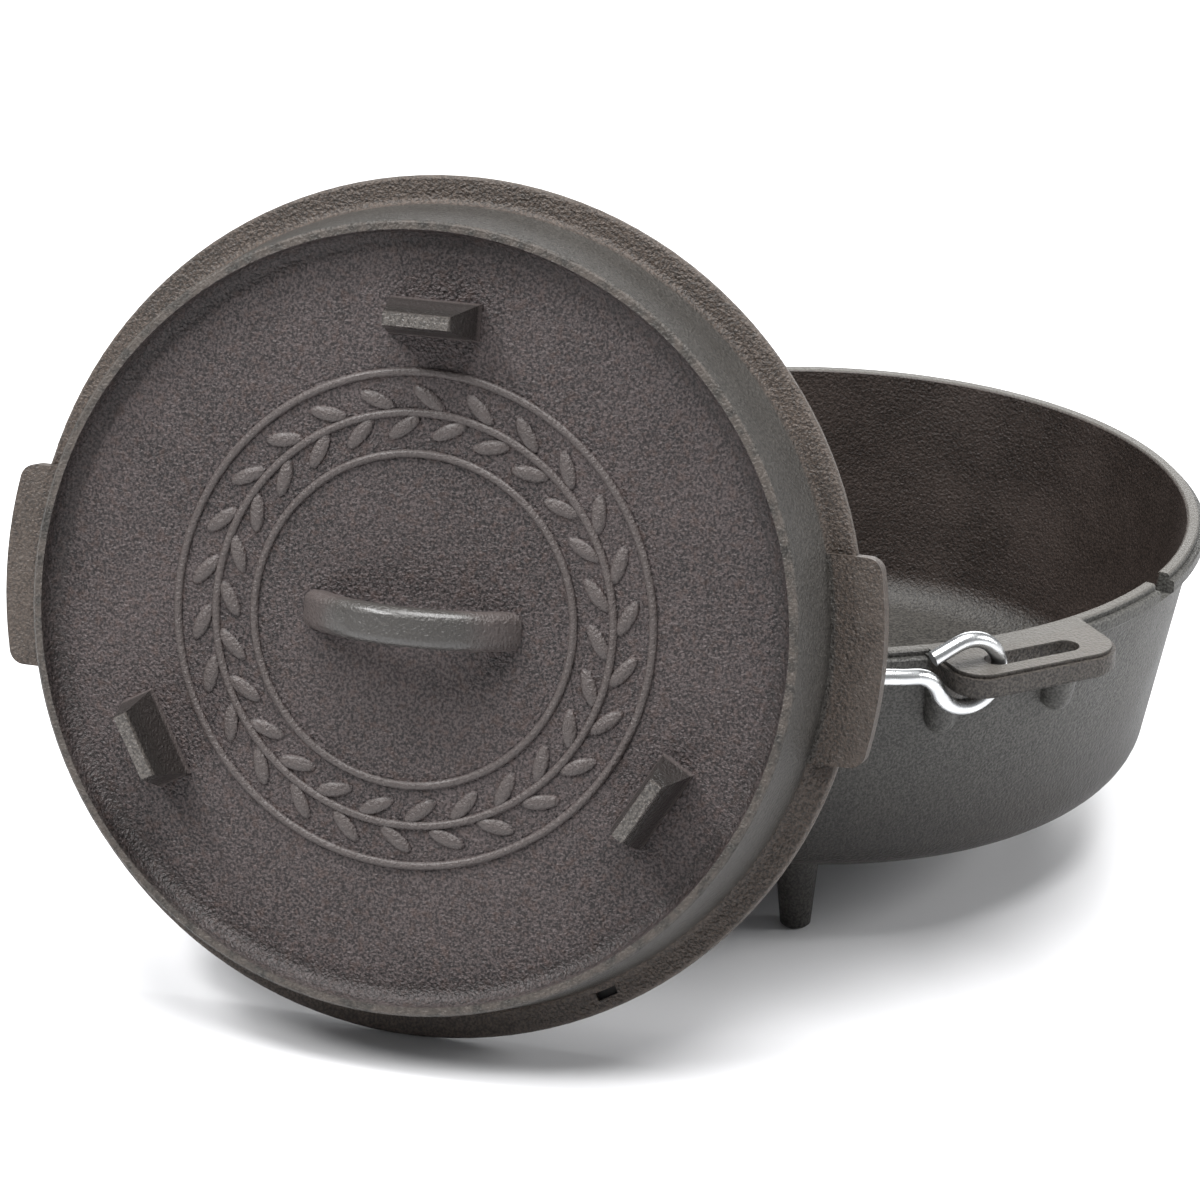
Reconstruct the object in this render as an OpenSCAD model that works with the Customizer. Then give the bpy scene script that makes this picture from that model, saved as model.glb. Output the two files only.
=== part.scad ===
// Camp oven of cast iron: a pot on three legs, a flanged lid with a coal tray, and a wire bail.
// The pot's axis is Z, the floor is z = 0 and the ears lie on +X and -X.
// The bail is folded towards -Y. The lid is off the pot: it stands on its edge and leans back.

/* [Pot] */
// Radius of the mouth, measured at the top of the lip
mouth_r = 148.5; // [140:0.5:160]
// Height of the lip's top above the floor
rim_h = 135; // [125:1:155]
// Thickness of the wall, measured level
wall_t = 4.5; // [3.5:0.1:6]
// Lean of the wall out from upright, in degrees
wall_lean = 11; // [6:0.5:13]
// Thickness of the floor
floor_t = 6.5; // [5:0.5:9]
// Radius of the bend between the floor and the wall, outside
base_bend = 20; // [12:1:26]
// Width of the lip that carries the lid
lip_w = 4.8; // [4:0.1:6]
// Width of the ledge outside the lip
ledge_w = 2.4; // [1.5:0.1:4]
// Depth of the ledge below the lip's top
ledge_drop = 2.5; // [1.5:0.1:3.5]
// Height of the upright band below the ledge
band_h = 4.5; // [3:0.5:6]
// Bevel on the edges of the lip and the ledge
edge_bevel = 0.8; // [0.4:0.1:1.2]

/* [Probe notch] */
// Width of the notch in the rim for a thermometer's lead
notch_w = 12; // [8:0.5:16]
// Depth of the notch below the lip's top
notch_d = 8; // [5:0.5:10]
// Direction of the notch, in degrees from +X
notch_az = 32; // [24:1:60]

/* [Legs] */
// Height of the pot's underside above the floor
leg_h = 32; // [26:1:40]
// Radius of the ring that the legs stand on
leg_ring_r = 109; // [95:1:112]
// Radius of a leg at the floor
leg_foot_r = 5.8; // [5:0.1:7]
// Radius of a leg at the pot's underside
leg_top_r = 8.8; // [7.5:0.1:10]
// Bevel round the foot of a leg
leg_bevel = 1.2; // [0.6:0.1:2]

/* [Ears] */
// Reach of an ear beyond the ledge
ear_reach = 25.5; // [24:0.5:30]
// Length of an ear along the rim
ear_l = 68; // [66:1:74]
// Thickness of an ear
ear_t = 9.5; // [8:0.1:11]
// Radius of an ear's outer corners, seen from above
ear_corner = 13; // [9:0.5:15]
// Bevel along an ear's upper and lower edges
ear_bevel = 1.6; // [0.8:0.1:2]
// Length of the slot through an ear
slot_l = 39; // [38:0.5:42]
// Width of an ear's bar outside the slot
ear_bar_w = 7.8; // [6:0.1:9]
// Radius of the ribs under an ear
rib_r = 8.5; // [7:0.1:9.5]
// Radius of a rib at its lower end
rib_tip_r = 6; // [5:0.1:7]
// Length of a rib down the wall
rib_l = 26; // [18:1:32]
// Distance between the two ribs
rib_gap = 50; // [44:1:52]

/* [Bail] */
// Thickness of the wire
bail_d = 6; // [5:0.1:6.5]
// Room for the wire across the slot
slot_play = 4; // [3:0.1:5]
// Room between the bail's eye and the end of the ear
eye_play = 0.6; // [0.5:0.1:1.2]
// Height of the eye's centre above the middle of the ear
eye_rise = 1.5; // [0:0.1:2]
// Radius of the bend between the eye and the arch
bend_r = 12; // [9:0.5:16]
// Radius of the elbow between that bend and the arch
elbow_r = 40; // [30:1:60]
// Length of the straight tail of the eye
tail_l = 11; // [6:0.5:12]
// Place of the tail on the eye, in degrees up from the arch
tail_at = 62; // [58:1:75]
// Angle of the folded bail above level
bail_rest = 7; // [5:0.5:10]

/* [Lid] */
// Overhang of the lid's flange beyond the ledge
flange_over = 1.7; // [0.5:0.1:4]
// Thickness of the flange
flange_t = 4.8; // [4:0.1:6]
// Rounding of the flange's outer edge
flange_round = 1.6; // [0.8:0.1:1.9]
// Width of the flange outside the lid's wall
flange_w = 10; // [8:0.5:13]
// Height of the coal rim above the underside of the flange
lid_h = 39.7; // [36:0.1:44]
// Lean of the lid's wall in from upright, in degrees
rim_lean = 9; // [5:0.5:12]
// Width of the coal rim's top
coal_rim_w = 3.2; // [2.5:0.1:4.5]
// Radius of the fillet between the flange and the wall
foot_fillet = 3; // [1:0.5:5]
// Depth of the coal tray below the rim
tray_d = 7.6; // [6.6:0.1:9]
// Radius of the bend round the tray's floor
tray_bend = 6.5; // [4:0.5:6.5]
// Thickness of the lid's panel
panel_t = 6; // [4.5:0.5:8]
// Thickness of the lid's wall, measured level
lid_wall_t = 5.2; // [4.5:0.1:6.5]
// Radius of the bend inside the lid
hollow_bend = 9; // [6:0.5:12]
// Depth of the ring that centres the lid in the mouth
ring_d = 3; // [2:0.5:4]
// Room between that ring and the mouth
ring_gap = 1; // [0.6:0.1:1.6]

/* [Lid fittings] */
// Reach of a lifting tab beyond the flange
tab_out = 8.6; // [6:0.1:11]
// Width of a lifting tab
tab_w = 75; // [60:1:85]
// Thickness of a lifting tab
tab_t = 8; // [6.5:0.1:10]
// Radius of a tab's corners
tab_corner = 6; // [4:0.5:8]
// Radius of the ring that the lid's feet stand on
foot_ring_r = 107.6; // [100:0.1:114]
// Length of a foot at the panel
foot_l = 34; // [30:1:40]
// Length of a foot at its top
foot_top_l = 24; // [18:1:26]
// Width of a foot at the panel
foot_w = 13.5; // [11:0.5:16]
// Width of a foot at its top
foot_top_w = 4.5; // [3:0.5:7]
// Height of a foot above the panel
foot_h = 24; // [18:1:28]
// Length of the loop handle at the panel
handle_l = 82; // [76:1:90]
// Height of the loop handle above the panel
handle_h = 23; // [22:0.5:28]
// Width of the handle's bar
handle_w = 14; // [11:0.5:16]
// Thickness of the handle's bar
handle_t = 10; // [8.5:0.5:11]
// Rounding of the bar's edges
handle_round = 4; // [2:0.1:4.2]
// Length of the slit in the flange for a thermometer's lead
slit_l = 8; // [6:0.5:10]
// Width of that slit
slit_w = 3; // [2:0.1:3.5]
// Direction of that slit on the lid, in degrees from a tab
slit_az = -60; // [-75:1:-45]

/* [Leaning lid] */
// Lean of the lid back from upright, in degrees
lid_lean = 16.2; // [14:0.1:20]
// Direction that the lid's top faces, in degrees from +X
lid_az = -41.2; // [-46:0.1:-38]
// Place of the lid along its own face, from the middle of the pot
lid_shift = -97; // [-105:1:-85]
// How far the swinging bail dips into the lid's hollow
bail_dip = 3; // [0:0.1:3.2]

/* [Hidden] */
$fn = 96;

// Cuts run this far past the faces that they open
over = 1;
// Fillers sink this far into the metal that they join
sink = 1;

// Pot: the wall's outside radius at a height, and the levels of the rim
function wall_r(z) = mouth_r + wall_t - (rim_h - z) * tan(wall_lean);
base_r = wall_r(leg_h);
cavity_h = rim_h - leg_h - floor_t;
cavity_r = mouth_r - cavity_h * tan(wall_lean);
cavity_bend = base_bend - wall_t;
lip_r = mouth_r + lip_w;
ledge_r = lip_r + ledge_w;
ledge_z = rim_h - ledge_drop;
band_z = ledge_z - band_h;
cove_z = band_z - (ledge_r - wall_r(band_z));

// Ears: the slot's place, and the web at the end of the slot that the bail's eye goes round
ear_edge = ledge_r + ear_reach;
ear_mid_z = rim_h - ear_t / 2;
slot_w = bail_d + slot_play;
slot_x = ear_edge - ear_bar_w - slot_w / 2;
web_w = (ear_l - slot_l) / 2;
web_y = (slot_l + web_w) / 2;

// Bail: the hinge line, the eye round the web, and the arch about the hinge line
axis_z = ear_mid_z + eye_rise;
eye_r = norm([web_w / 2, ear_t / 2 + eye_rise]) + eye_play + bail_d / 2;
bend_l = sqrt(eye_r * eye_r + 2 * bend_r * eye_r);
dip_at = atan(bend_r / bend_l);
elbow_turn = atan(bend_l / (slot_x - elbow_r));
arc_r = elbow_r + norm([slot_x - elbow_r, bend_l]);
// Pieces of the wire enter one another this far, each a trace thinner than the one that it enters
lap = 0.3;
step = 0.04;
function lap_turn(radius) = lap / radius * 180 / PI;

// Lid: radii of the flange, the wall and the hollow, and the levels of the panel
flange_r = ledge_r + flange_over;
rim_foot_r = flange_r - flange_w;
rim_top_r = rim_foot_r - (lid_h - flange_t) * tan(rim_lean);
rim_in_r = rim_top_r - coal_rim_w;
panel_z = lid_h - tray_d;
tray_lean = 2;
ceiling_z = panel_z - panel_t;
hollow_r = rim_foot_r - lid_wall_t;
ceiling_r = hollow_r - ceiling_z * tan(rim_lean);
ring_r = mouth_r - ring_gap;
tab_r = flange_r + tab_out;
loop_r = (handle_l * handle_l / 4 + handle_h * handle_h) / 2 / handle_h;

// Leaning lid: it stands on its rounded edge, just clear of the bail's swing
lid_z = (flange_r - flange_round) * cos(lid_lean) + flange_round * (1 - sin(lid_lean));
reach = arc_r + cos(lid_lean) * abs(sin(lid_az)) * web_y + sin(lid_lean) * axis_z;
lid_off = (reach - bail_dip - lid_z * sin(lid_lean)) / cos(lid_lean);
lid_x = lid_off * cos(lid_az) - lid_shift * sin(lid_az);
lid_y = lid_off * sin(lid_az) + lid_shift * cos(lid_az);

// Half of a dish's outline: floor on y = 0, wall leaning out, and a round bend between them
module dish(base, height, lean, bend) {
    run = bend * tan((90 - lean) / 2);
    polygon([[0, 0],
             [base - run, 0],
             [base + run * sin(lean), run * cos(lean)],
             [base + height * tan(lean), height],
             [0, height]]);
    translate([base - run, bend])
        circle(bend);
}

// Round the Z axis, part of a wire ring
module wire_arc(radius, turn, d) {
    rotate_extrude(angle = turn)
        translate([radius, 0])
            circle(d = d);
}

module pot_outline() {
    e = edge_bevel;
    translate([0, leg_h])
        dish(base_r, band_z - leg_h, wall_lean, base_bend);
    polygon([[0, cove_z],
             [wall_r(cove_z), cove_z],
             [ledge_r, band_z],
             [ledge_r, ledge_z - e],
             [ledge_r - e, ledge_z],
             [lip_r, ledge_z],
             [lip_r, rim_h - e],
             [lip_r - e, rim_h],
             [0, rim_h]]);
}

module cavity_outline() {
    e = edge_bevel;
    translate([0, leg_h + floor_t])
        dish(cavity_r, cavity_h + over, wall_lean, cavity_bend);
    polygon([[0, rim_h - e],
             [mouth_r - e * tan(wall_lean), rim_h - e],
             [mouth_r + e, rim_h],
             [mouth_r + e + over, rim_h + over],
             [0, rim_h + over]]);
}

module leg() {
    top = leg_h + floor_t / 2;
    grow = (leg_top_r - leg_foot_r) / leg_h;
    rotate_extrude()
        polygon([[0, 0],
                 [leg_foot_r - leg_bevel, 0],
                 [leg_foot_r + leg_bevel * grow, leg_bevel],
                 [leg_foot_r + top * grow, top],
                 [0, top]]);
}

// The ear seen from above, drawn in by an inset all round its outer edges
module ear_plan(inset) {
    c = ear_corner - inset;
    x = ear_edge - ear_corner;
    y = ear_l / 2 - ear_corner;
    translate([mouth_r - ear_reach, inset - ear_l / 2])
        square([x - mouth_r + ear_reach, ear_l - 2 * inset]);
    translate([x - over, -y])
        square([ear_corner - inset + over, 2 * y]);
    for (side = [-1, 1])
        translate([x, side * y])
            circle(c);
}

module slot_plan() {
    straight = slot_l - slot_w;
    translate([slot_x - slot_w / 2, -straight / 2])
        square([slot_w, straight]);
    for (side = [-1, 1])
        translate([slot_x, side * straight / 2])
            circle(d = slot_w);
}

module rib() {
    rotate([0, 180 + wall_lean, 0]) {
        cylinder(h = rib_l, r1 = rib_r, r2 = rib_tip_r);
        translate([0, 0, rib_l])
            sphere(rib_tip_r);
    }
}

module ear() {
    translate([0, 0, rim_h - ear_t + ear_bevel])
        linear_extrude(ear_t - 2 * ear_bevel)
            ear_plan(0);
    translate([0, 0, rim_h - ear_t])
        linear_extrude(ear_t)
            ear_plan(ear_bevel);
    for (side = [-1, 1])
        translate([wall_r(ear_mid_z), side * rib_gap / 2, ear_mid_z])
            rib();
}

module pot() {
    color("#50524d")
    difference() {
        union() {
            rotate_extrude()
                pot_outline();
            for (az = [-30, 90, 210])
                rotate([0, 0, az])
                    translate([leg_ring_r, 0, 0])
                        leg();
            for (az = [0, 180])
                rotate([0, 0, az])
                    ear();
        }
        rotate_extrude()
            cavity_outline();
        for (az = [0, 180])
            rotate([0, 0, az])
                translate([0, 0, rim_h - ear_t - over])
                    linear_extrude(ear_t + 2 * over)
                        slot_plan();
        rotate([0, 0, notch_az])
            translate([mouth_r - ear_reach, -notch_w / 2, rim_h - notch_d])
                cube([2 * ear_reach, notch_w, notch_d + over]);
    }
}

// One end of the bail, drawn flat: the bend from the arch, the open eye and its straight tail
module eye() {
    translate([bend_l, -bend_r, 0])
        rotate([0, 0, 90])
            wire_arc(bend_r, 90 - dip_at + lap_turn(bend_r), bail_d - step);
    rotate([0, 0, tail_at])
        wire_arc(eye_r, 360 - tail_at - dip_at, bail_d);
    rotate([0, 0, tail_at])
        translate([eye_r, lap, 0])
            rotate([90, 0, 0])
                cylinder(h = tail_l + lap, d = bail_d - step);
}

module bail() {
    color("silver")
    translate([0, -web_y, axis_z])
        rotate([-bail_rest, 0, 0]) {
            rotate([0, 0, 180 + elbow_turn])
                wire_arc(arc_r, 180 - 2 * elbow_turn, bail_d);
            translate([elbow_r - slot_x, -bend_l, 0])
                rotate([0, 0, 180 - lap_turn(elbow_r)])
                    wire_arc(elbow_r, elbow_turn + 2 * lap_turn(elbow_r), bail_d - 2 * step);
            translate([slot_x - elbow_r, -bend_l, 0])
                rotate([0, 0, -elbow_turn - lap_turn(elbow_r)])
                    wire_arc(elbow_r, elbow_turn + 2 * lap_turn(elbow_r), bail_d - 2 * step);
            for (side = [-1, 1])
                translate([side * slot_x, 0, 0])
                    rotate([90, 0, -90])
                        eye();
        }
}

module lid_outline() {
    f = flange_round;
    square([flange_r - f, flange_t]);
    translate([0, f])
        square([flange_r, flange_t - 2 * f]);
    for (level = [f, flange_t - f])
        translate([flange_r - f, level])
            circle(f);
    translate([0, -ring_d])
        square([ring_r, ring_d + sink]);
    polygon([[0, flange_t - sink],
             [rim_foot_r, flange_t - sink],
             [rim_foot_r, flange_t],
             [rim_top_r + edge_bevel * tan(rim_lean), lid_h - edge_bevel],
             [rim_top_r - edge_bevel, lid_h],
             [0, lid_h]]);
    lid_fillet();
}

// The hollow corner between the flange and the wall
module lid_fillet() {
    run = foot_fillet * tan((90 + rim_lean) / 2 - rim_lean);
    difference() {
        polygon([[rim_foot_r - sink, flange_t - sink],
                 [rim_foot_r + run, flange_t - sink],
                 [rim_foot_r + run, flange_t],
                 [rim_foot_r - run * sin(rim_lean), flange_t + run * cos(rim_lean)],
                 [rim_foot_r - run * sin(rim_lean) - sink, flange_t + run * cos(rim_lean)]]);
        translate([rim_foot_r + run, flange_t + foot_fillet])
            circle(foot_fillet);
    }
}

module lid_hollows() {
    translate([0, panel_z])
        dish(rim_in_r - tray_d * tan(tray_lean), tray_d + over, tray_lean, tray_bend);
    translate([0, ceiling_z])
        mirror([0, 1])
            dish(ceiling_r, ceiling_z + ring_d + over, rim_lean, hollow_bend);
}

module tab() {
    y = tab_w / 2 - tab_corner;
    x = sqrt((tab_r - tab_corner) * (tab_r - tab_corner) - y * y);
    linear_extrude(tab_t)
        difference() {
            union() {
                translate([0, -tab_w / 2])
                    square([x, tab_w]);
                intersection() {
                    circle(tab_r);
                    translate([0, -y * tab_r / (tab_r - tab_corner)])
                        square([tab_r, 2 * y * tab_r / (tab_r - tab_corner)]);
                }
                for (side = [-1, 1])
                    translate([x, side * y])
                        circle(tab_corner);
            }
            circle(rim_foot_r - lid_wall_t / 2);
        }
}

// A bar that tapers to its top, along X and standing on z = 0
module wedge(length, top_length, width, top_width, height) {
    intersection() {
        rotate([90, 0, 0])
            linear_extrude(2 * width, center = true)
                trapezium(length, top_length, height);
        rotate([90, 0, 90])
            linear_extrude(2 * length, center = true)
                trapezium(width, top_width, height);
    }
}

module trapezium(base, top, height) {
    grow = (base - top) / 2 / height * sink;
    polygon([[-base / 2 - grow, -sink],
             [base / 2 + grow, -sink],
             [top / 2, height],
             [-top / 2, height]]);
}

// A bar's section with rounded corners, centred
module bar_section(x, y, corner) {
    square([x, y - 2 * corner], center = true);
    square([x - 2 * corner, y], center = true);
    for (side = [-1, 1], end = [-1, 1])
        translate([side * (x / 2 - corner), end * (y / 2 - corner)])
            circle(corner);
}

// The loop handle: the part of a ring that stands above the panel
module handle() {
    intersection() {
        translate([0, 0, handle_h - loop_r])
            rotate([90, 0, 0])
                rotate_extrude()
                    translate([loop_r - handle_t / 2, 0])
                        bar_section(handle_t, handle_w, handle_round);
        translate([-handle_l, -handle_w, -sink])
            cube([2 * handle_l, 2 * handle_w, handle_h + 2 * sink]);
    }
}

module slit() {
    rotate([0, 0, slit_az])
        translate([rim_foot_r + flange_w * 0.4 - slit_w / 2, -slit_l / 2, -over])
            cube([slit_w, slit_l, flange_t + 2 * over]);
}

module lid() {
    color("#46403d")
    translate([lid_x, lid_y, lid_z])
        rotate([90 - lid_lean, 0, lid_az + 90]) {
            difference() {
                union() {
                    rotate_extrude()
                        lid_outline();
                    for (az = [0, 180])
                        rotate([0, 0, az])
                            tab();
                }
                rotate_extrude()
                    lid_hollows();
                slit();
            }
            translate([0, 0, panel_z]) {
                for (az = [90, 210, 330])
                    rotate([0, 0, az])
                        translate([foot_ring_r, 0, 0])
                            rotate([0, 0, 90])
                                wedge(foot_l, foot_top_l, foot_w, foot_top_w, foot_h);
                handle();
            }
        }
}

pot();
lid();
bail();
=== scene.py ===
# %% [markdown]
# # A camp oven of cast iron
#
# The oven has three pieces: a pot on three legs, a lid with a tray for coals, and a wire bail.
# Their shapes were built in CAD and packed. This lesson loads them and adds what CAD lacks: the skin
# of the castings, a low ornament, a dark plate of painted shade in a slit, a studio and a camera.
# Lengths are in metres. The pot's axis is Z and the floor is z = 0, as in the imported part.

# %% load the imported part
import math

import bmesh
import bpy
from mathutils import Matrix, Vector


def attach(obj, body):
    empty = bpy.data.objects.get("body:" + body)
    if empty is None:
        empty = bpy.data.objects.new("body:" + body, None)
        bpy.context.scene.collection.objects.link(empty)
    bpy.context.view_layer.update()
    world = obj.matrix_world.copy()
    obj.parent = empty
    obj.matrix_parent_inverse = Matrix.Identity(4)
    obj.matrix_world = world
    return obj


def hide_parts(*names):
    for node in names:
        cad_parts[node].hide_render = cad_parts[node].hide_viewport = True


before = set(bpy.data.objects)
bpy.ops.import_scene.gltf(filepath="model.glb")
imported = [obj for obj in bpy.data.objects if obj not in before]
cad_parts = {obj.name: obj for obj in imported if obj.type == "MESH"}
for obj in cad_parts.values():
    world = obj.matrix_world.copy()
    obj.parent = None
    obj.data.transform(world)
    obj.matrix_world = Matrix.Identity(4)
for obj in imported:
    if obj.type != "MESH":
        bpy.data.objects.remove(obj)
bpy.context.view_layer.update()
print("pieces:", sorted(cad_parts))

# %% [markdown]
# ## The lid's own frame
#
# The lid stands on its edge in front of the pot and leans back. Its ornament and its colours follow
# rings round its own axis, so they are laid out on a flat lid. One could turn the lid flat, work on it
# and turn it back, but a finished object has to stay unturned. A matrix does the same with no move:
# it takes a flat point (across, up, out) to its place on the leaning lid.

# %% the lid's frame
LID_CENTRE = Vector((0.076286, -0.195701, 0.150767))
LID_AZIMUTH = math.radians(-41.2)
LID_LEAN = math.radians(16.2)

lid_across = Vector((-math.sin(LID_AZIMUTH), math.cos(LID_AZIMUTH), 0))
lid_out = Vector((math.cos(LID_LEAN) * math.cos(LID_AZIMUTH),
                  math.cos(LID_LEAN) * math.sin(LID_AZIMUTH),
                  math.sin(LID_LEAN)))
lid_up = lid_out.cross(lid_across)
lid_axes = Matrix((lid_across, lid_up, lid_out)).transposed().to_4x4()
lid_place = Matrix.Translation(LID_CENTRE) @ lid_axes
print("the lid faces", [round(v, 3) for v in lid_out])

# %% [markdown]
# ## Smooth copies of the three pieces
#
# A casting's round faces flow into each other, and only its true edges are crisp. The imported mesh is
# loose triangles, so it can't tell one from the other. Shading it all smooth would smear the edges, and
# shading it flat would show facets. So a copy is merged first, and each edge is then called crisp
# or smooth by the angle between its faces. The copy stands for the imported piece.

# %% merged copies
MERGE_WITHIN = 1e-6
CRISP_ABOVE = {"pot": 28, "lid": 28, "bail": 50}


def merged_copy(node, edge_angle):
    """A copy whose edges are crisp only where its faces meet at more than edge_angle degrees."""
    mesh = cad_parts[node].data.copy()
    mesh.name = node + "_skin"
    shape = bmesh.new()
    shape.from_mesh(mesh)
    bmesh.ops.remove_doubles(shape, verts=shape.verts, dist=MERGE_WITHIN)
    limit = math.radians(edge_angle)
    for edge in shape.edges:
        edge.smooth = len(edge.link_faces) == 2 and edge.calc_face_angle(0) < limit
    for face in shape.faces:
        face.smooth = True
    shape.to_mesh(mesh)
    shape.free()
    mesh.materials.clear()
    copy = bpy.data.objects.new(node + "_skin", mesh)
    bpy.context.scene.collection.objects.link(copy)
    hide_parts(node)
    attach(copy, node)
    return copy


skins = {node: merged_copy(node, angle) for node, angle in CRISP_ABOVE.items()}
for node, skin in skins.items():
    print(node, len(skin.data.polygons), "faces")

# %% [markdown]
# ## A short way to write shaders
#
# A material could be wired by hand, node by node, but its recipe would be hard to read.
# `Sock` wraps one output of a node instead. Sums and products of socks add Math nodes, and `node` adds
# any other node: its settings come first, then the values or links of its sockets.


# %% shader helper
class Sock:
    """One output of a shader node, for use in sums and products."""

    def __init__(self, output):
        self.output = output
        self.tree = output.id_data

    def put(self, socket, value):
        """Link a sock to an input, or set the input to a plain value."""
        if isinstance(value, Sock):
            self.tree.links.new(value.output, socket)
        else:
            socket.default_value = value

    def node(self, kind, sockets, out=0, **settings):
        """Add a node and return one of its outputs."""
        made = self.tree.nodes.new(kind)
        for name, value in settings.items():
            setattr(made, name, value)
        for name, value in sockets.items():
            self.put(made.inputs[name], value)
        return Sock(made.outputs[out])

    def math(self, operation, a, b=0.0):
        return self.node("ShaderNodeMath", {0: a, 1: b}, operation=operation)

    def __add__(self, other):
        return self.math("ADD", self, other)

    def __radd__(self, other):
        return self.math("ADD", other, self)

    def __sub__(self, other):
        return self.math("SUBTRACT", self, other)

    def __rsub__(self, other):
        return self.math("SUBTRACT", other, self)

    def __mul__(self, other):
        return self.math("MULTIPLY", self, other)

    def __rmul__(self, other):
        return self.math("MULTIPLY", other, self)


print("Sock adds nodes with + - * and node()")

# %% [markdown]
# A few words for the recipes: `ramp` turns a distance into a mask, `blend` adds two masks by their shares,
# `mix` blends two colours by a mask, and `along` and `radius` measure where a point lies. `noise` and
# `patches` are the irregular part of any casting. All of them read Object coordinates, so a pattern
# stays on its piece when the piece moves.

# %% words for the recipes
# A Mix node has sockets for every kind of value. These are the numbers of those that mix colours.
MIX_SHARE = 0
MIX_FIRST = 6
MIX_SECOND = 7
MIX_RESULT = 2


def new_material(name):
    """A material, its shader, and the Object coordinates that its masks start from."""
    material = bpy.data.materials.new(name)
    material.use_nodes = True
    tree = material.node_tree
    shader = next(n for n in tree.nodes if n.type == "BSDF_PRINCIPLED")
    place = Sock(tree.nodes.new("ShaderNodeTexCoord").outputs["Object"])
    return material, shader, place


def ramp(value, low, high):
    """0 below low, 1 above high, and a smooth step between them."""
    return value.node("ShaderNodeMapRange", {"Value": value, "From Min": low, "From Max": high},
                      interpolation_type="SMOOTHSTEP")


def blend(first, second, share):
    """The sum of two masks, with this share of the first and the rest of the second."""
    return first * share + second * (1 - share)


def mix(share, first, second):
    """The first colour where share is 0 and the second where it is 1."""
    sockets = {MIX_SHARE: share, MIX_FIRST: first, MIX_SECOND: second}
    return share.node("ShaderNodeMix", sockets, out=MIX_RESULT, data_type="RGBA")


print("words ready: ramp, blend, mix")

# %% words for places and noise
NOISE_ROUGHNESS = 0.55


def along(place, direction, centre=(0, 0, 0)):
    """Distance of a point from the centre, measured along a direction."""
    offset = place.node("ShaderNodeVectorMath", {0: place, 1: centre}, operation="SUBTRACT")
    return place.node("ShaderNodeVectorMath", {0: offset, 1: direction}, out="Value",
                      operation="DOT_PRODUCT")


def radius(a, b):
    """Distance from an axis, from the distances along two directions square to it."""
    return a.math("SQRT", a * a + b * b)


def noise(place, scale, detail):
    """Noise with about this many waves in a metre."""
    return place.node("ShaderNodeTexNoise", {"Vector": place, "Scale": scale, "Detail": detail,
                                             "Roughness": NOISE_ROUGHNESS})


def patches(place, scale, detail, low, high):
    """Uneven patches: 0 where the noise is below low and 1 where it is above high."""
    return ramp(noise(place, scale, detail), low, high)


print("words ready: along, radius, noise, patches")

# %% [markdown]
# ## Cast skin
#
# Iron poured into sand keeps the sand's grain, about a millimetre across, under a thin coat of
# burnt-in oil. Real bumps of that size would need millions of faces, and an image of them isn't at
# hand. Two scales of noise in a Bump node give the grain, and a third one, `grit`, gives each grain its
# own shade, because the oil gathers between the grains.

# %% grain
COARSE_GRAIN = 300.0
FINE_GRAIN = 850.0
GRAIN_DETAIL = 2.0
COARSE_SHARE = 0.3
GRIT_SCALE = 1050.0


def cast_grain(place, shader, depth):
    """Two scales of grain on the surface, depth metres high."""
    coarse = noise(place, COARSE_GRAIN, GRAIN_DETAIL)
    fine = noise(place, FINE_GRAIN, GRAIN_DETAIL)
    height = blend(coarse, fine, COARSE_SHARE)
    bump = place.node("ShaderNodeBump", {"Strength": 1.0, "Distance": depth, "Height": height})
    place.put(shader.inputs["Normal"], bump)


def cast_grit(place):
    """Shade of the single grains, from 0 to 1."""
    return patches(place, GRIT_SCALE, detail=1.0, low=0.34, high=0.66)


print("grain about", round(1000 / GRIT_SCALE, 2), "mm")

# %% [markdown]
# ## The pot's iron
#
# Outside, the pot is grey near the rim and browner and darker towards its legs. Inside it is nearly
# black from oil, with a greyer floor. Its ears are browner. The tops of its lip and ears are lighter:
# partly rubbed wear, partly a painted highlight. Painting these by hand would need a UV map. Masks are
# simpler: each compares a point with the pot's own sizes. A span says where its mask begins and where it
# is full.

# %% where on the pot
MOUTH_R = 0.1485
RIM_H = 0.135
WALL_SLOPE = math.tan(math.radians(11))
EAR_R = MOUTH_R + 0.0095
FLOOR_Z = 0.0385
OUTSIDE_SPAN = (0.0004, 0.0016)
HIGH_SPAN = (0.035, 0.105)
EAR_SPAN = (EAR_R - 0.001, EAR_R + 0.001)
LIP_SPAN = (RIM_H - 0.0008, RIM_H - 0.0002)
ABOVE_BOTTOM_SPAN = (FLOOR_Z + 0.003, FLOOR_Z + 0.012)

pot_iron, pot_shader, place = new_material("pot_iron")
x = along(place, (1, 0, 0))
y = along(place, (0, 1, 0))
z = along(place, (0, 0, 1))
inner_wall = MOUTH_R - (RIM_H - z) * WALL_SLOPE
outside = ramp(radius(x, y) - inner_wall, *OUTSIDE_SPAN)
high = ramp(z, *HIGH_SPAN)
ear = ramp(radius(x, y), *EAR_SPAN)
lip = ramp(z, *LIP_SPAN)
bottom = 1.0 - ramp(z, *ABOVE_BOTTOM_SPAN)
print("pot: 5 masks from a mouth of", 2000 * MOUTH_R, "mm")
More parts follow.
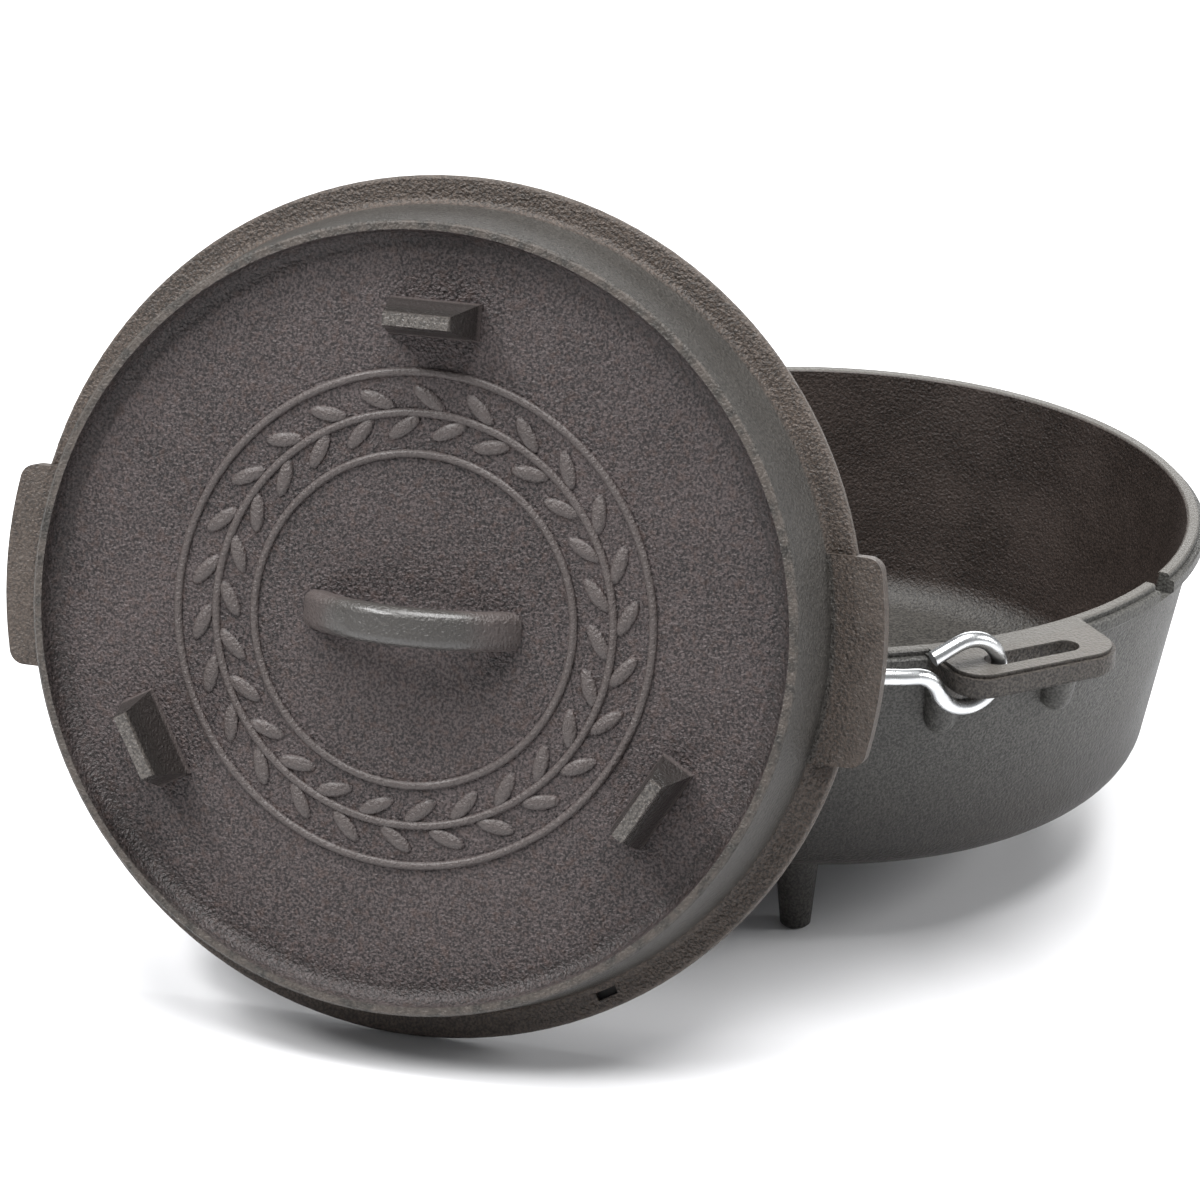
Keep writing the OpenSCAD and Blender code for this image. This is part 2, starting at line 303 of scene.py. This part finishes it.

# %% [markdown]
# One even colour would look like paint. So a finish is a dark and a light colour, and grit and larger
# blotches choose between them. The masks then lay one finish over another, the lip's wear and painted
# highlight last. A value that ends in SHOWS says how much of a finish is seen where its mask is full.

# %% pot colours
LOW_BROWN = ((0.005, 0.0041, 0.0034, 1), (0.026, 0.022, 0.019, 1))
HIGH_GREY = ((0.011, 0.0105, 0.0094, 1), (0.070, 0.068, 0.062, 1))
OILED_BLACK = ((0.008, 0.0052, 0.0039, 1), (0.038, 0.027, 0.0225, 1))
EAR_BROWN = ((0.013, 0.0095, 0.0075, 1), (0.050, 0.040, 0.033, 1))
BOTTOM_GREY = ((0.011, 0.0106, 0.0094, 1), (0.044, 0.042, 0.037, 1))
# The lip's colour: partly rubbed wear, partly a painted highlight on its top.
LIP_WEAR_AND_HIGHLIGHT = (0.105, 0.098, 0.088, 1)
OUTER_GRIT = 0.75
INNER_GRIT = 0.6
BOTTOM_SHOWS = 0.8
EAR_SHOWS = 0.7
LIP_SHOWS = 0.6
print("pot: 5 pairs of colours and a rubbed one")

# %% pot iron
POT_ROUGHNESS = 0.46
POT_UNEVEN = 0.1
POT_SPECULAR = 0.36
POT_GRAIN = 0.0008

blotch = patches(place, scale=26.0, detail=4.0, low=0.3, high=0.7)
grit = cast_grit(place)
outer_dark = mix(high, LOW_BROWN[0], HIGH_GREY[0])
outer_light = mix(high, LOW_BROWN[1], HIGH_GREY[1])
outer_tint = mix(blend(grit, blotch, OUTER_GRIT), outer_dark, outer_light)
inner_tint = mix(blend(grit, blotch, INNER_GRIT), *OILED_BLACK)
inner_tint = mix(bottom * BOTTOM_SHOWS, inner_tint, mix(grit, *BOTTOM_GREY))
pot_tint = mix(outside, inner_tint, outer_tint)
pot_tint = mix(ear * EAR_SHOWS, pot_tint, mix(grit, *EAR_BROWN))
# The top of the lip and ears: rubbed wear plus a painted highlight.
pot_tint = mix(lip * LIP_SHOWS, pot_tint, LIP_WEAR_AND_HIGHLIGHT)
place.put(pot_shader.inputs["Base Color"], pot_tint)
place.put(pot_shader.inputs["Roughness"], POT_ROUGHNESS + POT_UNEVEN * blotch)
pot_shader.inputs["Specular IOR Level"].default_value = POT_SPECULAR
cast_grain(place, pot_shader, POT_GRAIN)
skins["pot"].data.materials.append(pot_iron)
print("pot iron:", len(pot_iron.node_tree.nodes), "nodes")

# %% [markdown]
# ## The lid's iron
#
# The lid's panel is brown and coarse, with spots of rust. The wall round it is greyer, and the flange
# and the tabs are browner again. The coal rim and the flange's edge are rubbed lighter, and the handle
# is smooth from hands. The tops of the feet get painted light, and the sides of the feet and the tray's
# corner get painted shade, a near black.
# The masks are the same kind as the pot's, but they measure along the lid's own axes.

# %% lid sizes
PANEL_Z = 0.0321
PANEL_R = 0.120
RIM_INNER_R = 0.1387
RIM_TOP_Z = 0.0397
FLANGE_R = 0.1574
FLANGE_Z = 0.0056
WALL_FOOT_R = 0.1474
FOOT_TOP_Z = PANEL_Z + 0.024
WALL_SPAN = (RIM_INNER_R - 0.0004, RIM_INNER_R + 0.0004)
OFF_PANEL_SPAN = (PANEL_R, PANEL_R + 0.008)
RAISED_SPAN = (PANEL_Z + 0.010, PANEL_Z + 0.018)
RELIEF_SPAN = (PANEL_Z + 0.0003, PANEL_Z + 0.0010)
PAST_WALL_SPAN = (WALL_FOOT_R + 0.0004, WALL_FOOT_R + 0.002)
ABOVE_FLANGE_SPAN = (FLANGE_Z, FLANGE_Z + 0.003)
RIM_TOP_SPAN = (RIM_TOP_Z - 0.001, RIM_TOP_Z - 0.0003)
EDGE_SPAN = (FLANGE_R - 0.0022, FLANGE_R - 0.0006)
CORNER_SPAN = (RIM_INNER_R - 0.0085, RIM_INNER_R - 0.0055)
ABOVE_CORNER_SPAN = (RIM_TOP_Z - 0.0035, RIM_TOP_Z - 0.0008)
FEET_SPAN = (0.085, 0.090)
ABOVE_PANEL_SPAN = (PANEL_Z + 0.002, PANEL_Z + 0.004)
FOOT_TOP_SPAN = (FOOT_TOP_Z - 0.0025, FOOT_TOP_Z - 0.0005)
print("lid: a flange of", round(2000 * FLANGE_R, 1), "mm")

# %% where on the lid
lid_iron, lid_shader, place = new_material("lid_iron")
across = along(place, tuple(lid_across), tuple(LID_CENTRE))
up = along(place, tuple(lid_up), tuple(LID_CENTRE))
out = along(place, tuple(lid_out), tuple(LID_CENTRE))
from_axis = radius(across, up)
on_wall = ramp(from_axis, *WALL_SPAN)
on_panel = 1.0 - ramp(from_axis, *OFF_PANEL_SPAN)
raised = ramp(out, *RAISED_SPAN)
relief = ramp(out, *RELIEF_SPAN) * on_panel
past_wall = ramp(from_axis, *PAST_WALL_SPAN)
flange = 1.0 - ramp(out, *ABOVE_FLANGE_SPAN) * (1.0 - past_wall)
rim_top = ramp(out, *RIM_TOP_SPAN) * on_wall
edge = ramp(from_axis, *EDGE_SPAN)
corner = ramp(from_axis, *CORNER_SPAN) * (1.0 - on_wall)
corner = corner * (1.0 - ramp(out, *ABOVE_CORNER_SPAN))
foot = ramp(from_axis, *FEET_SPAN) * on_panel * ramp(out, *ABOVE_PANEL_SPAN)
foot_top = ramp(out, *FOOT_TOP_SPAN)
print("lid masks:", len(lid_iron.node_tree.nodes), "nodes")

# %% [markdown]
# The lid's finishes are laid on in the same way: first the panel with its rust and its ornament, then the
# wall and the flange, the painted shade in the tray's corner, the handle, the feet with painted shade on
# their sides and painted light on their tops, and last the rubbed edges. A thin clear coat on all that is
# raised gives the handle its soft gloss.

# %% lid colours
PANEL_BROWN = ((0.008, 0.0064, 0.0064, 1), (0.068, 0.054, 0.053, 1))
RUST = (0.064, 0.037, 0.028, 1)
RELIEF_GREY = (0.066, 0.055, 0.052, 1)
WALL_GREY = ((0.016, 0.0144, 0.0127, 1), (0.048, 0.0442, 0.0394, 1))
FLANGE_BROWN = ((0.030, 0.0245, 0.021, 1), (0.084, 0.061, 0.048, 1))
HANDLE_GREY = (0.042, 0.039, 0.036, 1)
# A near black used as painted shade: in the tray's corner, on the feet's sides and in the slit's plate.
PAINTED_SHADE_DARK = (0.009, 0.0074, 0.0066, 1)
# Painted light for the tops of the feet.
FOOT_TOP_PAINTED_LIGHT = ((0.034, 0.030, 0.027, 1), (0.110, 0.098, 0.088, 1))
RUBBED_EDGE = (0.085, 0.070, 0.060, 1)
LID_GRIT = 0.8
RUST_SHOWS = 0.27
RELIEF_SHOWS = 0.85
FLANGE_SHOWS = 0.7
CORNER_SHADE_SHOWS = 0.35
FOOT_SHOWS = 0.8
RIM_TOP_SHOWS = 0.6
EDGE_SHOWS = 0.4
print("lid: 4 pairs of colours and 5 single ones")

# %% lid tint
blotch = patches(place, scale=22.0, detail=4.0, low=0.3, high=0.72)
rust = patches(place, scale=300.0, detail=2.0, low=0.5, high=0.72)
rubbed = patches(place, scale=170.0, detail=3.0, low=0.3, high=0.62)
shade = blend(cast_grit(place), blotch, LID_GRIT)
panel_tint = mix(rust * RUST_SHOWS, mix(shade, *PANEL_BROWN), RUST)
panel_tint = mix(relief * RELIEF_SHOWS, panel_tint, RELIEF_GREY)
wall_tint = mix(flange * FLANGE_SHOWS, mix(shade, *WALL_GREY), mix(shade, *FLANGE_BROWN))
# The feet: painted shade on their sides, painted light on their tops.
foot_light_and_shade = mix(foot_top, PAINTED_SHADE_DARK, mix(shade, *FOOT_TOP_PAINTED_LIGHT))
lid_tint = mix(on_wall, panel_tint, wall_tint)
# Painted shade in the tray's corner.
lid_tint = mix(corner * CORNER_SHADE_SHOWS, lid_tint, PAINTED_SHADE_DARK)
lid_tint = mix(raised * (1.0 - on_wall), lid_tint, HANDLE_GREY)
lid_tint = mix(foot * FOOT_SHOWS, lid_tint, foot_light_and_shade)
lid_tint = mix((rim_top * RIM_TOP_SHOWS + edge * EDGE_SHOWS) * rubbed, lid_tint, RUBBED_EDGE)
place.put(lid_shader.inputs["Base Color"], lid_tint)
print("lid tint:", len(lid_iron.node_tree.nodes), "nodes")

# %% lid gloss and grain
LID_ROUGHNESS = 0.44
LID_UNEVEN = 0.08
RAISED_SMOOTHER = 0.16
RELIEF_SMOOTHER = 0.06
RAISED_COAT = 0.45
RELIEF_COAT = 0.15
COAT_ROUGHNESS = 0.25
LID_SPECULAR = 0.3
LID_GRAIN = 0.0014

lid_roughness = LID_ROUGHNESS - RAISED_SMOOTHER * raised + LID_UNEVEN * blotch - RELIEF_SMOOTHER * relief
place.put(lid_shader.inputs["Roughness"], lid_roughness)
place.put(lid_shader.inputs["Coat Weight"], RAISED_COAT * raised + RELIEF_COAT * relief)
lid_shader.inputs["Coat Roughness"].default_value = COAT_ROUGHNESS
lid_shader.inputs["Specular IOR Level"].default_value = LID_SPECULAR
cast_grain(place, lid_shader, LID_GRAIN)
skins["lid"].data.materials.append(lid_iron)
print("lid iron:", len(lid_iron.node_tree.nodes), "nodes")

# %% [markdown]
# ## The bail's zinc
#
# The bail is drawn steel wire with bright zinc on it. A mirror would look like chrome, so a faint,
# uneven bloom dulls the metal a little and changes its shade.

# %% zinc
BRIGHT_ZINC = (0.64, 0.65, 0.65, 1)
DULL_ZINC = (0.50, 0.51, 0.52, 1)
ZINC_ROUGHNESS = 0.26
ZINC_UNEVEN = 0.06

zinc, zinc_shader, place = new_material("bright_zinc")
bloom = patches(place, scale=160.0, detail=3.0, low=0.35, high=0.7)
zinc_shader.inputs["Metallic"].default_value = 1.0
place.put(zinc_shader.inputs["Base Color"], mix(bloom, BRIGHT_ZINC, DULL_ZINC))
place.put(zinc_shader.inputs["Roughness"], ZINC_ROUGHNESS + ZINC_UNEVEN * bloom)
skins["bail"].data.materials.append(zinc)
print("zinc:", len(zinc.node_tree.nodes), "nodes")

# %% [markdown]
# ## The lid's ornament
#
# Lids of this kind often carry a cast ornament. Here it is a plain leaf wreath: low leaves on both
# sides of a round stem, between two rings. Each leaf could be modelled and placed by hand, but the
# wreath follows one rule, so a Geometry Nodes tree sets it out. Its sizes are named inputs, and a fixed
# seed turns each leaf a little differently, as a carver's pattern would.

# %% wreath sizes
WREATH_SIZES = {
    "Leaves": ("NodeSocketInt", 52),
    "Ring Radius": ("NodeSocketFloat", 0.074),
    "Leaf Length": ("NodeSocketFloat", 0.0075),
    "Leaf Width": ("NodeSocketFloat", 0.0029),
    "Relief": ("NodeSocketFloat", 0.0016),
    "Tilt": ("NodeSocketFloat", -0.55),
    "Spread": ("NodeSocketFloat", 0.0052),
    "Band": ("NodeSocketFloat", 0.0145),
    "Material": ("NodeSocketMaterial", None),
}

wreath_tree = bpy.data.node_groups.new("leaf_wreath", "GeometryNodeTree")
wreath_tree.interface.new_socket("Geometry", in_out="OUTPUT", socket_type="NodeSocketGeometry")
identifiers = {}
for name, (kind, value) in WREATH_SIZES.items():
    socket = wreath_tree.interface.new_socket(name, in_out="INPUT", socket_type=kind)
    if value is not None:
        socket.default_value = value
    identifiers[name] = socket.identifier
given = wreath_tree.nodes.new("NodeGroupInput").outputs
print("wreath inputs:", ", ".join(WREATH_SIZES))

# %% [markdown]
# Two helpers keep the tree short: `add` places a node and returns it, and `calc` returns the result of
# one sum on numbers or sockets.


# %% tree helpers
def add(kind, sockets, **settings):
    """Add a node to the wreath's tree: its settings first, then its sockets' values or links."""
    made = wreath_tree.nodes.new(kind)
    for name, value in settings.items():
        setattr(made, name, value)
    for name, value in sockets.items():
        if isinstance(value, bpy.types.NodeSocket):
            wreath_tree.links.new(value, made.inputs[name])
        else:
            made.inputs[name].default_value = value
    return made


def calc(operation, a, b):
    """The result of one Math node."""
    return add("ShaderNodeMath", {0: a, 1: b}, operation=operation).outputs[0]


print("tree helpers ready: add, calc")

# %% [markdown]
# ### Leaves
#
# A leaf is a ball pressed flat, and half of it is sunk in the panel. One stands at each point of a
# circle. Every second one is moved outwards and the others inwards, and both lean away from the stem.

# %% one leaf and its turn
LEAF_SEGMENTS = 20
LEAF_RINGS = 10
LEAF_JITTER = 0.05
WREATH_SEED = 7

leaf_ball = add("GeometryNodeMeshUVSphere", {"Segments": LEAF_SEGMENTS, "Rings": LEAF_RINGS,
                                             "Radius": 1.0})
leaf_size = add("ShaderNodeCombineXYZ", {"X": given["Leaf Length"], "Y": given["Leaf Width"],
                                         "Z": given["Relief"]})
leaf = add("GeometryNodeTransform", {"Geometry": leaf_ball.outputs["Mesh"],
                                     "Scale": leaf_size.outputs["Vector"]})
index = add("GeometryNodeInputIndex", {}).outputs[0]
turn = calc("DIVIDE", calc("MULTIPLY", index, 2 * math.pi), given["Leaves"])
flip = calc("SUBTRACT", calc("MULTIPLY", calc("MODULO", index, 2.0), 2.0), 1.0)
jitter = add("FunctionNodeRandomValue", {"Min": -LEAF_JITTER, "Max": LEAF_JITTER, "ID": index,
                                         "Seed": WREATH_SEED}, data_type="FLOAT")
wobble = next(o for o in jitter.outputs if o.enabled)
lean = calc("ADD", calc("MULTIPLY", given["Tilt"], flip), wobble)
angle = calc("ADD", calc("ADD", turn, math.pi / 2), lean)
spin = add("ShaderNodeCombineXYZ", {"X": 0.0, "Y": 0.0, "Z": angle})
print("a leaf has", LEAF_SEGMENTS * LEAF_RINGS, "faces")

# %% leaves round the stem
share = calc("DIVIDE", calc("MULTIPLY", flip, given["Spread"]), given["Ring Radius"])
spot = add("GeometryNodeInputPosition", {}).outputs[0]
moved = add("ShaderNodeVectorMath", {0: spot, "Scale": calc("ADD", 1.0, share)}, operation="SCALE")
circle = add("GeometryNodeMeshCircle", {"Vertices": given["Leaves"], "Radius": given["Ring Radius"]})
spots = add("GeometryNodeSetPosition", {"Geometry": circle.outputs["Mesh"],
                                        "Position": moved.outputs[0]})
leaves = add("GeometryNodeInstanceOnPoints", {"Points": spots.outputs["Geometry"],
                                              "Instance": leaf.outputs["Geometry"],
                                              "Rotation": spin.outputs["Vector"]})
print("leaves:", WREATH_SIZES["Leaves"][1])

# %% [markdown]
# ### Stem and rings
#
# The stem and the two rings are round beads that follow circles, so a small circle is swept along each
# of them. Realize Instances then turns the leaves into plain mesh, because an export drops instances.

# %% stem, rings and the end of the tree
BEAD_SIDES = 12
RING_SIDES = 160

bead = add("GeometryNodeCurvePrimitiveCircle", {"Resolution": BEAD_SIDES, "Radius": given["Relief"]})
join = add("GeometryNodeJoinGeometry", {})
for step in (-1.0, 0.0, 1.0):
    size = calc("ADD", given["Ring Radius"], calc("MULTIPLY", given["Band"], step))
    path = add("GeometryNodeCurvePrimitiveCircle", {"Resolution": RING_SIDES, "Radius": size})
    swept = add("GeometryNodeCurveToMesh", {"Curve": path.outputs["Curve"],
                                            "Profile Curve": bead.outputs["Curve"]})
    wreath_tree.links.new(swept.outputs["Mesh"], join.inputs["Geometry"])
wreath_tree.links.new(leaves.outputs["Instances"], join.inputs["Geometry"])
real = add("GeometryNodeRealizeInstances", {"Geometry": join.outputs["Geometry"]})
painted = add("GeometryNodeSetMaterial", {"Geometry": real.outputs["Geometry"],
                                          "Material": given["Material"]})
add("NodeGroupOutput", {0: painted.outputs["Geometry"]})
print("wreath tree:", len(wreath_tree.nodes), "nodes")

# %% [markdown]
# ### Casting the wreath
#
# The tree runs once on an empty mesh. Its result becomes a plain mesh, is moved on to the lid's panel,
# a tenth of a millimetre deep so that no gap shows, and rides on the lid.

# %% wreath
SUNK = 0.0001

maker = bpy.data.objects.new("wreath_maker", bpy.data.meshes.new("wreath_maker"))
bpy.context.scene.collection.objects.link(maker)
modifier = maker.modifiers.new("wreath", "NODES")
modifier.node_group = wreath_tree
modifier[identifiers["Material"]] = lid_iron
bpy.context.view_layer.update()
made = maker.evaluated_get(bpy.context.evaluated_depsgraph_get())
wreath_mesh = bpy.data.meshes.new_from_object(made)
bpy.data.objects.remove(maker)
wreath_mesh.transform(lid_place @ Matrix.Translation((0, 0, PANEL_Z - SUNK)))
for face in wreath_mesh.polygons:
    face.use_smooth = True
wreath = bpy.data.objects.new("lid_wreath", wreath_mesh)
bpy.context.scene.collection.objects.link(wreath)
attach(wreath, "lid")
print("wreath:", len(wreath_mesh.polygons), "faces")

# %% [markdown]
# ## A plate of painted shade in the slit
#
# The small slit in the flange looks black, because what shows through it lies in shade. The imported slit
# is open and would show the bright floor. A texture can't darken a hole, so a thin black plate is set in
# it as painted shade, a little larger than the slit so that it is held all round, and it rides on the lid.

# %% plate in the slit
SLIT_AZIMUTH = math.radians(-60)
SLIT_R = 0.1514
SLIT_LENGTH = 0.008
SLIT_WIDTH = 0.003
SLIT_LAP = 0.0004
PLATE_LOW = 0.0012
PLATE_HIGH = 0.0026

# A thin black plate in the slit, as painted shade.
shape = bmesh.new()
bmesh.ops.create_cube(shape, size=1.0)
plate_size = (SLIT_WIDTH + 2 * SLIT_LAP, SLIT_LENGTH + 2 * SLIT_LAP, PLATE_HIGH - PLATE_LOW)
bmesh.ops.scale(shape, vec=plate_size, verts=shape.verts)
plate_place = Matrix.Rotation(SLIT_AZIMUTH, 4, "Z")
plate_place = plate_place @ Matrix.Translation((SLIT_R, 0, (PLATE_LOW + PLATE_HIGH) / 2))
bmesh.ops.transform(shape, matrix=lid_place @ plate_place, verts=shape.verts)
plate_mesh = bpy.data.meshes.new("lid_slit_shade_plate")
shape.to_mesh(plate_mesh)
shape.free()
print("slit:", 1000 * SLIT_LENGTH, "by", 1000 * SLIT_WIDTH, "mm")

# %% the plate's painted shade
# Painted shade: the near black of the plate in the slit.
PLATE_SHADE_BLACK = (0.003, 0.0026, 0.0024, 1)
PLATE_SHADE_ROUGHNESS = 0.7
PLATE_SHADE_UNEVEN = 0.2

plate_shade, plate_shade_shader, place = new_material("plate_shade")
plate_shade_bumps = noise(place, COARSE_GRAIN, GRAIN_DETAIL)
place.put(plate_shade_shader.inputs["Base Color"], mix(cast_grit(place), PLATE_SHADE_BLACK, PAINTED_SHADE_DARK))
place.put(plate_shade_shader.inputs["Roughness"], PLATE_SHADE_ROUGHNESS + PLATE_SHADE_UNEVEN * plate_shade_bumps)
plate_mesh.materials.append(plate_shade)
slit_shade_plate = bpy.data.objects.new("lid_slit_shade_plate", plate_mesh)
bpy.context.scene.collection.objects.link(slit_shade_plate)
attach(slit_shade_plate, "lid")
print("soot:", len(plate_shade.node_tree.nodes), "nodes")

# %% [markdown]
# ## Studio
#
# Dark iron needs a bright room, or it loses its shape. The floor is pale paper that runs far back, lit
# until it shows white. Whiter paper would throw too much light up at the iron. The room's own light is
# faint and a little blue, which colours the shadows. The view transform is Standard, so that what is
# lit white stays white.

# %% floor and room
FLOOR_HALF = 30
PAPER_COLOUR = (0.70, 0.70, 0.71, 1)
PAPER_ROUGHNESS = 0.3
ROOM_COLOUR = (0.95, 0.97, 1, 1)
ROOM_STRENGTH = 0.28

floor_mesh = bpy.data.meshes.new("floor")
floor_corners = [(-FLOOR_HALF, -FLOOR_HALF, 0), (FLOOR_HALF, -FLOOR_HALF, 0),
                 (FLOOR_HALF, FLOOR_HALF, 0), (-FLOOR_HALF, FLOOR_HALF, 0)]
floor_mesh.from_pydata(floor_corners, [], [(0, 1, 2, 3)])
floor = bpy.data.objects.new("floor", floor_mesh)
bpy.context.scene.collection.objects.link(floor)
paper, paper_shader, _ = new_material("paper")
paper_shader.inputs["Base Color"].default_value = PAPER_COLOUR
paper_shader.inputs["Roughness"].default_value = PAPER_ROUGHNESS
floor_mesh.materials.append(paper)

room = bpy.data.worlds.new("room")
room.use_nodes = True
room.node_tree.nodes["Background"].inputs["Color"].default_value = ROOM_COLOUR
room.node_tree.nodes["Background"].inputs["Strength"].default_value = ROOM_STRENGTH
bpy.context.scene.world = room
bpy.context.scene.view_settings.view_transform = "Standard"
print("floor", 2 * FLOOR_HALF, "m wide")

# %% [markdown]
# The main light is a very wide, soft one overhead. A sun with a large angle lights the whole floor
# evenly, which a lamp close by would not. A soft box at the right shapes the pot's wall, one at the
# front left lights the lid, and one at the upper left rakes over it, so that its grain and its wreath
# show. A large one low at the back is the bright wall of a studio: it glances off the lip, the ears and
# the lid's wall. The camera doesn't see the lamps themselves.


# %% lights
def add_lamp(light, place, target):
    """A lamp that points from its place to the target."""
    lamp = bpy.data.objects.new(light.name, light)
    lamp.location = place
    lamp.rotation_mode = "QUATERNION"
    lamp.rotation_quaternion = (Vector(target) - Vector(place)).to_track_quat("-Z", "Y")
    lamp.visible_camera = False
    bpy.context.scene.collection.objects.link(lamp)


def soft_box(name, place, target, width, watts):
    """A round lamp of this width."""
    light = bpy.data.lights.new(name, "AREA")
    light.shape = "DISK"
    light.size = width
    light.energy = watts
    add_lamp(light, place, target)


overhead = bpy.data.lights.new("overhead", "SUN")
overhead.angle = math.radians(44)
overhead.energy = 5.8
add_lamp(overhead, place=(0.22, 0.05, 2.1), target=(0.05, -0.05, 0.1))
soft_box("right", place=(0.9, 1.6, 0.9), target=(0.0, 0.0, 0.1), width=0.7, watts=24)
soft_box("back", place=(-1.4, 1.05, 0.62), target=(0.05, -0.1, 0.12), width=1.2, watts=10)
soft_box("front left", place=(0.2, -1.2, 1.35), target=(0.1, -0.2, 0.2), width=0.5, watts=16)
soft_box("upper left", place=(-0.45, -1.27, 1.88), target=(0.08, -0.2, 0.15), width=0.4, watts=24)

# %% [markdown]
# ## Camera
#
# The ellipses of the mouth and of the lid's rings tell where a camera stood: about 23 degrees above the
# floor, with a long lens. Its place and turn were worked out from them, and its axes are written out
# here, so that nothing has to track a target.

# %% camera
HEADING = math.radians(154.348)
PITCH = math.radians(23.264)
ROLL = math.radians(0.414)
EYE = (1.3095, -0.7231, 0.7314)
LENS_MM = 120.59
SENSOR_MM = 36
SIGHT = 100

look = Vector((math.cos(HEADING) * math.cos(PITCH),
               math.sin(HEADING) * math.cos(PITCH),
               -math.sin(PITCH)))
right = Vector((math.sin(HEADING), -math.cos(HEADING), 0))
over = right.cross(look)
side = right * math.cos(ROLL) + over * math.sin(ROLL)
top = over * math.cos(ROLL) - right * math.sin(ROLL)
lens = bpy.data.cameras.new("camera")
lens.lens = LENS_MM
lens.sensor_width = SENSOR_MM
lens.clip_end = SIGHT
camera = bpy.data.objects.new("camera", lens)
camera.matrix_world = Matrix.Translation(EYE) @ Matrix((side, top, -look)).transposed().to_4x4()
bpy.context.scene.collection.objects.link(camera)
bpy.context.scene.camera = camera
print("camera at", EYE)
